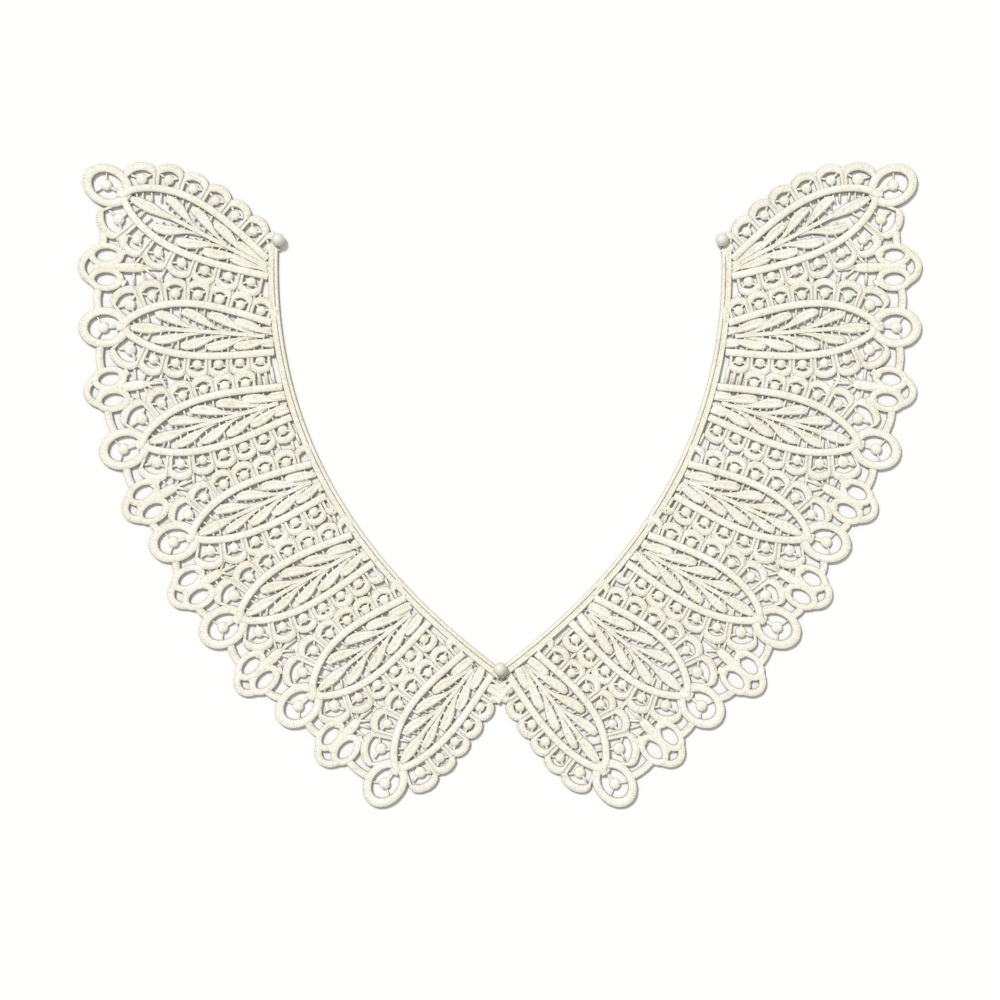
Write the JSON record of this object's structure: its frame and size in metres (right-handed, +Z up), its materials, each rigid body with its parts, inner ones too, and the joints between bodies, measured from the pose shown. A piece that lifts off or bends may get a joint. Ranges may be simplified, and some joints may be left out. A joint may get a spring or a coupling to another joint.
{
  "type": "lace collar",
  "caption": "Detachable V-necked lace collar of corded leaf motifs with ringed tips, a bound neck edge and pearl ends, laid flat.",
  "frame": {"origin": "middle of the collar's box, on the surface that it lies on", "axes": "+X across the collar, +Y from the front point towards the back of the neck, +Z up off the surface"},
  "size_m": [0.3378, 0.2577, 0.0077],
  "materials": {
    "lace": "matt ivory cotton embroidery thread",
    "satin_cord": "padded satin stitch in ivory cotton, faint sheen",
    "neck_tape": "folded ivory tape with a stitched groove",
    "pearl": "pearly lustre"
  },
  "bodies": {
    "root": {"lace_left": "lace", "leaf_cord_left_1": "satin_cord", "leaf_cord_left_2": "satin_cord", "leaf_cord_left_3": "satin_cord", "leaf_cord_left_4": "satin_cord", "leaf_cord_left_5": "satin_cord", "leaf_cord_left_6": "satin_cord", "leaf_cord_left_7": "satin_cord", "neck_tape_left": "neck_tape", "pearl_left": "pearl", "lace_right": "lace", "leaf_cord_right_1": "satin_cord", "leaf_cord_right_2": "satin_cord", "leaf_cord_right_3": "satin_cord", "leaf_cord_right_4": "satin_cord", "leaf_cord_right_5": "satin_cord", "leaf_cord_right_6": "satin_cord", "leaf_cord_right_7": "satin_cord", "neck_tape_right": "neck_tape", "pearl_right": "pearl", "front_bars": "satin_cord", "pearl_front": "pearl"}
  },
  "joints": []
}
